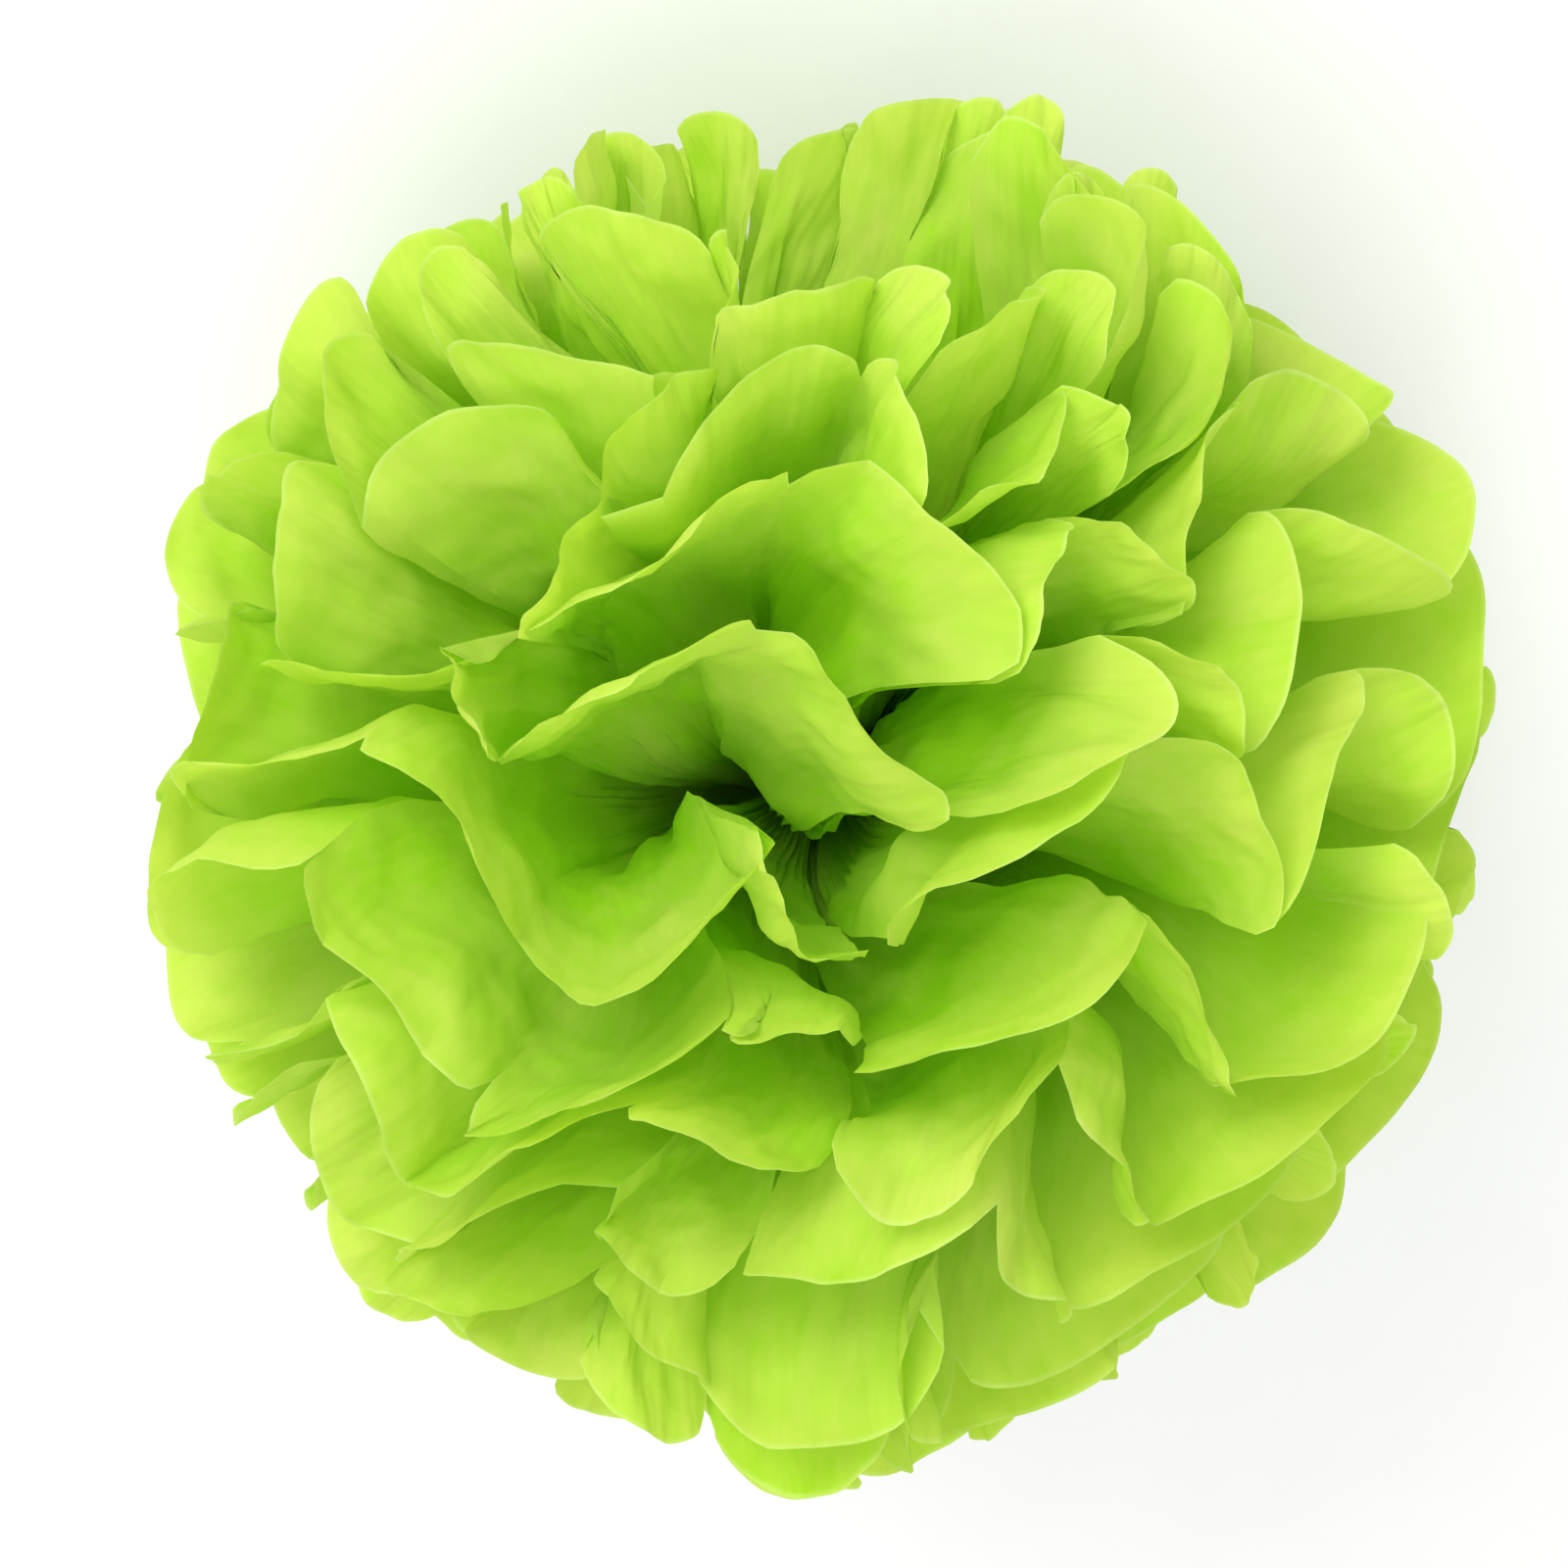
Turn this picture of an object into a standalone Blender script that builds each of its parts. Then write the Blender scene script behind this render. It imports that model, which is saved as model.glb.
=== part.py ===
"""Tissue paper pom pom: pleated sheets tied at the waist and fluffed into a ball.

Twelve sheets of tissue lie in one stack, are pleated together like a fan, cut round at
both ends and tied across the middle with wire.  Each sheet is then pulled apart from
its neighbours, so that it stands as a pleated dish of its own and the stack becomes a
ball.  The pleats run along X, the stack is pulled apart along Y with its front at -Y, and
the ball rests on its lower petals at Z = 0.  Units are metres.
"""

import math

import bmesh
import bpy
import numpy as np
from mathutils import Vector

# Paper
SHEET_COUNT = 12                        # sheets in the stack
SHEET_LENGTH = 0.500                    # across the pleats
SHEET_WIDTH = 0.262                     # along the pleats, tip to tip
PANEL_COUNT = 11                        # pleats in one sheet
PAPER_THICKNESS = 0.0002                # real tissue is about 0.03 mm
PETAL_ROUNDING = 0.0125                 # depth of the rounded cut at each petal tip

# Waist
WAIST_LENGTH = 0.0040                   # straight stretch under the wire
PEEL_STEP = 0.0014                      # how much later each sheet leaves the stack than its outer one
END_PEEL_LOSS = 0.20                    # part of that step lost at the cut ends, which hug the tie
WAIST_WIDTH = 0.0100                    # pleats gathered by the wire
WAIST_GAP = 0.0006                      # air between neighbouring sheets at the waist

# Fluffing
OUTER_LEAN = math.radians(73)           # lean of the front and back sheets out of the middle
FAN_SPREAD = math.radians(179)          # spread of one half sheet about the flower's axis
WEDGE_SHARE = 0.12                      # how far the lean dies out towards the seam
WAIST_LEAN_SHARE = 0.50                 # part of the lean that is there at the waist
LEAN_REACH = 0.032                      # distance from the tie where the full lean is reached
PLEAT_CLEARANCE = 0.0032                # least distance between two nested pleats
LEAST_SLOPE_COSINE = 0.20               # steepest pleat, as the cosine of its slope
PLEAT_REACH = 0.050                     # distance from the tie where the pleats stand full height
EDGE_PLEAT_SHARE = 0.45                 # pleat depth left at a sheet's two cut ends
SEAM_STEP = 0.24                        # sideways shift of a sheet's cut ends, in panels
OUTER_PLEAT_ANGLE = math.radians(8)     # most a crease of an outer sheet stands off its lean
EXTRA_PLEAT_ANGLE = math.radians(22)    # and what the middle sheets have on top
STEEPEST_LEAN = math.radians(86)        # lean that no crease passes, short of the flower's axis
SEAM_REACH = 0.100                      # distance from the tie where the halves have closed up
SEAM_TWIST = math.radians(22)           # turn of the seam from the middle to the front
SEAM_WANDER = 0.0050                    # sideways wave of the seam
WANDER_HEIGHT = 0.110                   # length of that wave up the ball
WANDER_DEPTH = 0.150                    # and from its front to its back
SEAM_GAP = 0.0012                       # least distance between the two halves of a sheet

# Hand-made unevenness, as shares of the pleat spacing where no length is given
CREASE_DRIFT = 0.36                     # creases that stand off their even places
CREASE_SKEW = 0.12                      # ridges and valleys that lean to one side
OUTER_OVERLAP = 0.9                     # how far petals of the outer sheets slide over each other
OVERLAP_CHANGE = 0.30                   # part of that slide which differs from petal to petal
OVERLAP_RATE = 0.30                     # how fast it changes from sheet to sheet
OVERLAP_TURN = 0.50                     # and from crease to crease
OVERLAP_CLEARANCE = 0.12                # pleat depth left there, as a share of the room
DEPTH_CHANGE = 0.15                     # pleats that are deeper or flatter
LIFT_CHANGE = 0.22                      # petals that stand out of their sheet
LENGTH_CHANGE = 0.045                   # petals that reach further or less far
PETAL_BULGE = 0.60                      # cupping of a petal, as a share of the room between sheets
PETAL_CURL = 0.80                       # curl of its tip, as a share of the same room
MOST_PUSH = 0.42                        # most that the two may use of it
BEND_DEPTH = 0.0060                     # waves that run through all the sheets
BEND_WAVELENGTH = 0.085                 # length of those waves
SEED = 7                                # draws the unevenness

# Rest
TIE_HEIGHT = 0.122                      # tie above the table before the ball settles
SETTLE_DEPTH = 0.0050                   # softness of the petals pressed on the table

# Tie wire
WIRE_DIAMETER = 0.0007                  # thin painted wire
WIRE_CLEARANCE = 0.0003                 # air between the wire and the paper it ties
WIRE_TURNS = 2                          # turns round the waist
WIRE_SPACING = 0.00006                  # air between neighbouring turns
TWIST_LENGTH = 0.0090                   # length of the two ends twisted together
TWIST_WIDTH = 0.00110                   # from one strand's middle to the other's
TWIST_TURNS = 1.5                       # turns of that twist

HALF_WIDTH = SHEET_WIDTH / 2
PANEL_WIDTH = SHEET_LENGTH / PANEL_COUNT
SHEET_PITCH = PAPER_THICKNESS + WAIST_GAP
LEAN_STEP = 2 * OUTER_LEAN / (SHEET_COUNT - 1)
FAN_STEP = FAN_SPREAD / PANEL_COUNT
MESH_STATIONS = (0.30, 0.58, 0.82)    # rows of the folded mesh, as shares of a half sheet

DRIFT, DEPTH, LIFT, LENGTH, BULGE, CURL = range(6)
RANDOM = np.random.RandomState(SEED)
SWAY_RATES = RANDOM.uniform(0.30, 1.10, (6, 2, PANEL_COUNT + 1, 3))
SWAY_RATES[[BULGE, CURL]] *= 2.5      # these two differ from petal to petal
SWAY_STARTS = RANDOM.uniform(0.0, 2 * math.pi, (6, 2, PANEL_COUNT + 1, 3))
BEND_COUNT = 8
BEND_DIRECTIONS = RANDOM.normal(size=(BEND_COUNT, 3))
BEND_PUSHES = RANDOM.normal(size=(BEND_COUNT, 3))
BEND_STARTS = RANDOM.uniform(0.0, 2 * math.pi, BEND_COUNT)


def smooth_step(value):
    """Ease from 0 to 1."""
    value = np.clip(value, 0.0, 1.0)
    return value * value * (3.0 - 2.0 * value)


def sway(channel, half, crease, level):
    """Return a value of about -1 to 1 that changes slowly from sheet to sheet."""
    rates = SWAY_RATES[channel, half, crease]
    starts = SWAY_STARTS[channel, half, crease]
    return 1.3 * np.sin(rates * level + starts).mean(axis=-1)


def seam_share(place):
    """How near a place across the pleats is to the sheet's cut ends, from 0 to 1."""
    return np.sin(FAN_SPREAD * (place / PANEL_COUNT - 0.5)) ** 4


def peel_place(level, place):
    """Distance from the middle at which a sheet leaves the stack."""
    rank = min(level, SHEET_COUNT - 1 - level)
    return WAIST_LENGTH / 2 + PEEL_STEP * rank * (1 - END_PEEL_LOSS * seam_share(place))


def crease_points(level, half, crease, reach):
    """Return points of the creases of one sheet, each at its distance from the tie."""
    share = np.clip(reach / HALF_WIDTH, 0.0, 1.1)
    lean = OUTER_LEAN * (2.0 * level / (SHEET_COUNT - 1) - 1.0)
    fan = FAN_SPREAD * (crease / PANEL_COUNT - 0.5)
    wedge = np.arcsin(np.cos(fan) * math.sin(lean))
    tilt = (1 - WEDGE_SHARE) * lean + WEDGE_SHARE * wedge
    spacing = 1 - WEDGE_SHARE + WEDGE_SHARE * np.cos(fan) * math.cos(lean) / np.cos(wedge)
    opened = WAIST_LEAN_SHARE + (1 - WAIST_LEAN_SHARE) * smooth_step(reach / LEAN_REACH)
    fold = np.where(crease % 2 == 0, 1.0, -1.0)
    cut_end = (crease == 0) | (crease == PANEL_COUNT)
    inner = np.sin(math.pi * crease / PANEL_COUNT) ** 0.5

    run = np.maximum(reach, 1e-4)
    across = run * np.cos(tilt * opened) * FAN_STEP
    room = run * LEAN_STEP * spacing * opened
    flattest = np.clip(PLEAT_CLEARANCE / room, LEAST_SLOPE_COSINE, 1.0)
    rise = np.sqrt(np.maximum(PANEL_WIDTH ** 2 - across ** 2, 0.0))
    rise = np.minimum(rise, across * np.sqrt(1.0 / flattest ** 2 - 1.0))
    depth = 0.5 * rise / run * np.where(cut_end, EDGE_PLEAT_SHARE, 1.0)
    depth = depth * smooth_step(reach / PLEAT_REACH)
    depth = np.minimum(depth, OUTER_PLEAT_ANGLE + EXTRA_PLEAT_ANGLE * math.cos(lean) ** 2)
    depth = depth * (1 + DEPTH_CHANGE * sway(DEPTH, half, crease, level) * share)

    ease = 0.4 + 0.6 * math.cos(lean)
    wave = np.sin(OVERLAP_RATE * level + OVERLAP_TURN * crease + 2.4 * half + 0.8)
    skew = ease * CREASE_SKEW + OUTER_OVERLAP * (1 - math.cos(lean))
    skew = skew * (1 - OVERLAP_CHANGE + OVERLAP_CHANGE * wave)
    skew = skew * np.where(half == 0, 1.0, -1.0) * np.where(cut_end, 0.0, 1.0)
    over = np.abs(skew) * share
    limit = OVERLAP_CLEARANCE * LEAN_STEP * spacing * (1 + 2 * over)
    depth = np.minimum(depth, limit * (1 + 8 * np.maximum(0.5 - over, 0.0)))
    seam = math.sin(math.pi / 2 * level) * SEAM_STEP
    seam = seam * np.where(half == 0, 1.0, -1.0) * np.where(cut_end, 1.0, 0.0)
    fan = fan + FAN_STEP * share * (fold * skew + seam)
    drift = ease * CREASE_DRIFT * inner * sway(DRIFT, half, crease, level)
    fan = fan + FAN_STEP * share ** 1.3 * drift
    lift = LIFT_CHANGE * LEAN_STEP * spacing * share ** 2 * sway(LIFT, half, crease, level)
    tilt = tilt * opened + fold * depth + lift
    tilt = tilt / (1 + np.abs(tilt / STEEPEST_LEAN) ** 8) ** (1 / 8)
    length = reach * (1 + LENGTH_CHANGE * share * sway(LENGTH, half, crease, level))

    turn = np.where(half == 0, 1.0, -1.0)
    closing = (WAIST_LENGTH - SEAM_GAP) / 2 * smooth_step(reach / LEAN_REACH)
    peeled = peel_place(level, crease) - WAIST_LENGTH / 2
    closing = closing + peeled * smooth_step(reach / SEAM_REACH)
    peel = peel_place(level, crease) - closing * seam_share(crease)
    stack = (level - (SHEET_COUNT - 1) / 2) * SHEET_PITCH
    x = turn * (peel + length * np.cos(tilt) * np.cos(fan))
    y = -stack * (1 - share) - length * np.sin(tilt)
    z = WAIST_WIDTH * (crease / PANEL_COUNT - 0.5) + length * np.cos(tilt) * np.sin(fan)
    return np.stack(np.broadcast_arrays(x, y, z), axis=-1)


def bend(points):
    """Push points about by a smooth field, so that no two petals stand alike."""
    directions = BEND_DIRECTIONS / np.linalg.norm(BEND_DIRECTIONS, axis=1, keepdims=True)
    pushes = BEND_PUSHES / np.linalg.norm(BEND_PUSHES, axis=1, keepdims=True)
    waves = 2 * math.pi / BEND_WAVELENGTH * (points @ directions.T) + BEND_STARTS
    reach = np.linalg.norm(points, axis=-1, keepdims=True)
    fade = smooth_step(reach / (0.7 * HALF_WIDTH))
    points = points + fade * BEND_DEPTH * 0.45 * (np.sin(waves) @ pushes)
    wander = np.sin(2 * math.pi * (points[..., 2] / WANDER_HEIGHT + points[..., 1] / WANDER_DEPTH))
    points[..., 0] += SEAM_WANDER * fade[..., 0] * wander
    turn = SEAM_TWIST * points[..., 1] / HALF_WIDTH
    x = points[..., 0] * np.cos(turn) + points[..., 2] * np.sin(turn)
    z = points[..., 2] * np.cos(turn) - points[..., 0] * np.sin(turn)
    return np.stack((x, points[..., 1], z), axis=-1)


def settle(points):
    """Lift points to the tie's height and press the lowest petals on the table."""
    points = points + np.array((0.0, 0.0, TIE_HEIGHT))
    height = points[..., 2]
    points[..., 2] = 0.5 * (height + np.sqrt(height ** 2 + SETTLE_DEPTH ** 2))
    return points


def panel_points(level, half, panel, part, reach):
    """Return points of flat pleat panels, between one crease and the next."""
    near = crease_points(level, half, panel, reach)
    far = crease_points(level, half, panel + 1, reach)
    return near + (far - near) * part[:, None]


def unit(vectors):
    """Scale vectors to length one."""
    return vectors / np.maximum(np.linalg.norm(vectors, axis=-1, keepdims=True), 1e-12)


def fold_sheet(level, along, across):
    """Fold flat points of a sheet: along the pleats from the tie, and across them."""
    half = np.where(along >= 0, 0, 1)
    place = (across / SHEET_LENGTH + 0.5) * PANEL_COUNT
    reach = np.maximum(np.abs(along) - peel_place(level, place), 0.0)
    panel = np.clip(np.floor(place + 1e-6), 0, PANEL_COUNT - 1).astype(int)
    part = np.clip(place - panel, 0.0, 1.0)
    points = panel_points(level, half, panel, part, reach)

    edge = crease_points(level, half, panel + 1, reach)
    edge = edge - crease_points(level, half, panel, reach)
    outward = panel_points(level, half, panel, part, reach + 0.001) - points
    low, high = max(level - 0.5, 0.0), min(level + 0.5, SHEET_COUNT - 1.0)
    between = panel_points(high, half, panel, part, reach)
    between = (between - panel_points(low, half, panel, part, reach)) / (high - low)
    facing = unit(between)
    normal = unit(np.cross(edge, outward))
    rise = (edge * facing).sum(-1, keepdims=True) * facing
    opening = 0.5 * np.linalg.norm(edge - rise, axis=-1)
    room = np.minimum(np.abs((between * normal).sum(-1)), opening)

    share = reach / HALF_WIDTH
    bulge = PETAL_BULGE * sway(BULGE, half, panel, level) * 4 * part * (1 - part)
    curl = PETAL_CURL * sway(CURL, half, panel, level) * np.sin(math.pi * part)
    push = bulge * smooth_step((share - 0.3) / 0.5) + curl * smooth_step((share - 0.5) / 0.7)
    push = np.clip(push, -MOST_PUSH, MOST_PUSH) * room
    points = points + normal * push[:, None]
    waist = np.abs(along) < peel_place(level, place)
    points[:, 0] = np.where(waist, along, points[:, 0])
    return settle(bend(points))


def petal_tip(across):
    """Distance from the tie to the cut edge of a petal at a place across the sheet."""
    part = (across / PANEL_WIDTH + PANEL_COUNT / 2) % 1.0
    rounded = np.sqrt(np.clip(1 - np.abs(2 * part - 1) ** 2.2, 0.0, 1.0))
    rounded = np.where(np.minimum(part, 1 - part) < 1e-4, 0.0, rounded)
    return HALF_WIDTH - PETAL_ROUNDING * (1 - rounded)


def flat_sheet(level):
    """Cut one flat sheet: a grid of pleat panels with scalloped ends."""
    stations = [0.0] + list(MESH_STATIONS) + [1.0]
    rows = [-station for station in reversed(stations)] + stations
    sheet = bmesh.new()
    bmesh.ops.create_grid(sheet, x_segments=len(rows) - 1, y_segments=2 * PANEL_COUNT, size=1.0)
    for vertex in sheet.verts:
        row = round((vertex.co.x + 1) / 2 * (len(rows) - 1))
        side = math.copysign(1.0, row - (len(rows) - 1) / 2)
        place = (vertex.co.y + 1) / 2 * PANEL_COUNT
        vertex.co.x = side * max(abs(rows[row]) * HALF_WIDTH, peel_place(level, place))
        vertex.co.y = vertex.co.y * SHEET_LENGTH / 2

    def is_tip(vertex):
        return abs(vertex.co.x) > 0.99 * HALF_WIDTH

    for edge in [e for e in sheet.edges if is_tip(e.verts[0]) and is_tip(e.verts[1])]:
        bmesh.utils.edge_split(edge, edge.verts[0], 0.5)
    for vertex in [v for v in sheet.verts if is_tip(v)]:
        reach = float(petal_tip(np.array(vertex.co.y)))
        vertex.co.x = math.copysign(reach, vertex.co.x)

    inner_row = (MESH_STATIONS[1] + 0.01) * HALF_WIDTH
    spare = []
    for edge in sheet.edges:
        a, b = (v.co for v in edge.verts)
        runs_along = abs(a.y - b.y) < 1e-6
        place = (a.y / SHEET_LENGTH + 0.5) * PANEL_COUNT
        mid_panel = abs(place % 1.0 - 0.5) < 0.1
        if runs_along and mid_panel and max(abs(a.x), abs(b.x)) < inner_row:
            spare.append(edge)
    bmesh.ops.dissolve_edges(sheet, edges=spare, use_verts=True)
    bmesh.ops.triangulate(sheet, faces=sheet.faces)
    return sheet


def skin_direction(vertex):
    """Direction out of the paper at a vertex that leans on no face around it."""
    normals = [face.normal for face in vertex.link_faces]
    direction = sum(normals, Vector()).normalized()
    for _ in range(40):
        steepest = min(normals, key=direction.dot)
        if direction.dot(steepest) > 0.6:
            break
        direction = (direction + 0.15 * steepest).normalized()
    return direction


def thicken(sheet):
    """Give a folded sheet the thickness of its paper."""
    bmesh.ops.recalc_face_normals(sheet, faces=sheet.faces)
    sheet.normal_update()
    lifts = {tuple(v.co): PAPER_THICKNESS / 2 * skin_direction(v) for v in sheet.verts}
    front = bmesh.ops.extrude_face_region(sheet, geom=sheet.faces[:], use_keep_orig=True)
    raised = {part for part in front["geom"] if isinstance(part, bmesh.types.BMVert)}
    for vertex in sheet.verts:
        side = 1 if vertex in raised else -1
        vertex.co += side * lifts[tuple(vertex.co)]
    bmesh.ops.recalc_face_normals(sheet, faces=sheet.faces)


def paper_material(name):
    """Matt lime green tissue."""
    material = bpy.data.materials.new(name)
    material.use_nodes = True
    shader = material.node_tree.nodes["Principled BSDF"]
    shader.inputs["Base Color"].default_value = (0.33, 0.62, 0.03, 1.0)
    shader.inputs["Roughness"].default_value = 0.85
    shader.inputs["Metallic"].default_value = 0.0
    return material


def add_sheet(level, collection):
    """Fold one sheet of the stack and give it the thickness of its paper."""
    name = f"tissue_sheet_{level + 1:02d}"
    sheet = flat_sheet(level)
    flat = np.array([vertex.co[:] for vertex in sheet.verts])
    folded = fold_sheet(level, flat[:, 0], flat[:, 1])
    for vertex, point in zip(sheet.verts, folded):
        vertex.co = Vector(point)
    thicken(sheet)
    mesh = bpy.data.meshes.new(name)
    sheet.to_mesh(mesh)
    sheet.free()
    mesh.materials.append(paper_material(name + "_tissue"))
    body = bpy.data.objects.new(name, mesh)
    collection.objects.link(body)
    return body


def wire_material():
    """Dark green painted wire."""
    material = bpy.data.materials.new("tie_wire_paint")
    material.use_nodes = True
    shader = material.node_tree.nodes["Principled BSDF"]
    shader.inputs["Base Color"].default_value = (0.030, 0.060, 0.020, 1.0)
    shader.inputs["Roughness"].default_value = 0.45
    shader.inputs["Metallic"].default_value = 0.0
    return material


def wire_loop():
    """Corner points (y, z) of one turn of wire round the gathered waist, from the top."""
    reach = WIRE_CLEARANCE + WIRE_DIAMETER / 2
    half_stack = (SHEET_COUNT - 1) / 2 * SHEET_PITCH + PAPER_THICKNESS / 2
    half_width = WAIST_WIDTH / 2
    corners = ((-1, 1, 90), (-1, -1, 180), (1, -1, 270), (1, 1, 360))
    loop = [(0.0, half_width + reach)]
    for side_y, side_z, start in corners:
        for step in (0, 45, 90):
            angle = math.radians(start + step)
            y = side_y * half_stack + reach * math.cos(angle)
            z = side_z * half_width + reach * math.sin(angle)
            loop.append((y, z))
    return loop


def wire_route():
    """Points of the tie wire: down one twisted end, round the waist, up the other end."""
    pitch = WIRE_DIAMETER + WIRE_SPACING
    loop = wire_loop()
    top = loop[0][1]
    turns = []
    for turn in range(WIRE_TURNS):
        for index, (y, z) in enumerate(loop):
            along = turn + index / len(loop) - WIRE_TURNS / 2
            turns.append(Vector((along * pitch, y, z)))
    turns.append(Vector((WIRE_TURNS / 2 * pitch, 0.0, top)))

    twist_start = top + 1.5 * WIRE_DIAMETER
    steps = round(8 * TWIST_TURNS)
    ends = ([], [])
    for end, strand in enumerate(ends):
        for step in range(steps + 1):
            angle = 2 * math.pi * TWIST_TURNS * step / steps + math.pi * (1 - end)
            x = TWIST_WIDTH / 2 * math.cos(angle)
            y = TWIST_WIDTH / 2 * math.sin(angle)
            strand.append(Vector((x, y, twist_start + TWIST_LENGTH * step / steps)))
    return list(reversed(ends[0])) + turns + ends[1]


def add_tie_wire(collection):
    """Bend the tie wire round the waist."""
    curve = bpy.data.curves.new("tie_wire", "CURVE")
    curve.dimensions = "3D"
    curve.bevel_depth = WIRE_DIAMETER / 2
    curve.bevel_resolution = 2
    curve.use_fill_caps = True
    route = wire_route()
    spline = curve.splines.new("POLY")
    spline.points.add(len(route) - 1)
    for point, place in zip(spline.points, route):
        point.co = (*place, 1.0)
    spline.use_smooth = True
    curve.materials.append(wire_material())
    wire = bpy.data.objects.new("tie_wire", curve)
    wire.location.z = TIE_HEIGHT
    collection.objects.link(wire)
    return wire


def rest_on_table(pieces):
    """Centre the ball over the origin and let its lowest petal touch Z = 0."""
    corners = []
    for piece in pieces:
        if piece.type == "MESH":
            corners.extend(vertex.co[:] for vertex in piece.data.vertices)
    corners = np.array(corners)
    low, high = corners.min(axis=0), corners.max(axis=0)
    shift = Vector((-(low[0] + high[0]) / 2, -(low[1] + high[1]) / 2, -low[2]))
    for piece in pieces:
        piece.location += shift


def clear_scene():
    """Remove what the scene holds."""
    for thing in list(bpy.data.objects):
        bpy.data.objects.remove(thing, do_unlink=True)


def main():
    """Build the pom pom."""
    clear_scene()
    collection = bpy.data.collections.new("tissue_pom_pom")
    bpy.context.scene.collection.children.link(collection)
    pieces = [add_sheet(level, collection) for level in range(SHEET_COUNT)]
    pieces.append(add_tie_wire(collection))
    rest_on_table(pieces)


main()
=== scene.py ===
"""Dress the tissue paper pom pom and set it up for its photograph.

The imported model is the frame.  Each of its tissue sheets is folded once more from the
same flat cut, with many more points, and then gets its crinkles, its press marks and a
matt finish that light shines through.  The tie wire gets its paint.  Units are metres.
"""

import logging
import math
from dataclasses import dataclass, field
from enum import Enum

import bpy
import numpy as np
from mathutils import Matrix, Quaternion, Vector

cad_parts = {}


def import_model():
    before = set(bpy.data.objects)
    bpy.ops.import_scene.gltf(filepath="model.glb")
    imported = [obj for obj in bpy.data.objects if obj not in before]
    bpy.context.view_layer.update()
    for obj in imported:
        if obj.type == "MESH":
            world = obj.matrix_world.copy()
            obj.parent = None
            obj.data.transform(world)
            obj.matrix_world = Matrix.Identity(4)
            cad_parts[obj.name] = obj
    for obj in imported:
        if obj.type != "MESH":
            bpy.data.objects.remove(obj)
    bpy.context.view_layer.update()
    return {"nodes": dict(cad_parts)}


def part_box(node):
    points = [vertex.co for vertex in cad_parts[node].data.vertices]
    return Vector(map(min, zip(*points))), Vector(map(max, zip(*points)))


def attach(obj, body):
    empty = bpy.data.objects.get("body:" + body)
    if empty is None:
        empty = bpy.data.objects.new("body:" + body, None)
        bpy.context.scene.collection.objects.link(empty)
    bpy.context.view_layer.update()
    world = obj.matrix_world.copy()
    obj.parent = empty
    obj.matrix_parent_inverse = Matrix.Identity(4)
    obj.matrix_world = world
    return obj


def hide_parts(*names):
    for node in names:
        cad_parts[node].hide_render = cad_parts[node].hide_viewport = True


LOG = logging.getLogger("pom_pom")

Colour = tuple[float, float, float, float]
Corner = tuple[float, float, float]


# Nodes as expressions


class Term:
    """An output socket that joins in Python expressions like a number."""

    def __init__(self, maker: "NodeMaker", socket: bpy.types.NodeSocket) -> None:
        """Keep the socket and the maker of its tree."""
        self.maker = maker
        self.socket = socket

    def _math(self, operation: str, first: "Term | float", second: "Term | float") -> "Term":
        """Add one Math node.

        Args:
            operation: The Math node's operation.
            first: Its first value.
            second: Its second value.

        Returns:
            The node's result.
        """
        return self.maker.add("ShaderNodeMath", {"operation": operation}, {0: first, 1: second})

    def __add__(self, other: "Term | float") -> "Term":
        """Return self + other."""
        return self._math("ADD", self, other)

    def __radd__(self, other: float) -> "Term":
        """Return other + self."""
        return self._math("ADD", other, self)

    def __sub__(self, other: "Term | float") -> "Term":
        """Return self - other."""
        return self._math("SUBTRACT", self, other)

    def __rsub__(self, other: float) -> "Term":
        """Return other - self."""
        return self._math("SUBTRACT", other, self)

    def __mul__(self, other: "Term | float") -> "Term":
        """Return self * other."""
        return self._math("MULTIPLY", self, other)

    def __rmul__(self, other: float) -> "Term":
        """Return other * self."""
        return self._math("MULTIPLY", other, self)

    def __truediv__(self, other: "Term | float") -> "Term":
        """Return self / other."""
        return self._math("DIVIDE", self, other)

    def __pow__(self, other: "Term | float") -> "Term":
        """Return self ** other."""
        return self._math("POWER", self, other)

    def __gt__(self, other: "Term | float") -> "Term":
        """Return 1 where self is greater than other, else 0."""
        return self._math("GREATER_THAN", self, other)


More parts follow.
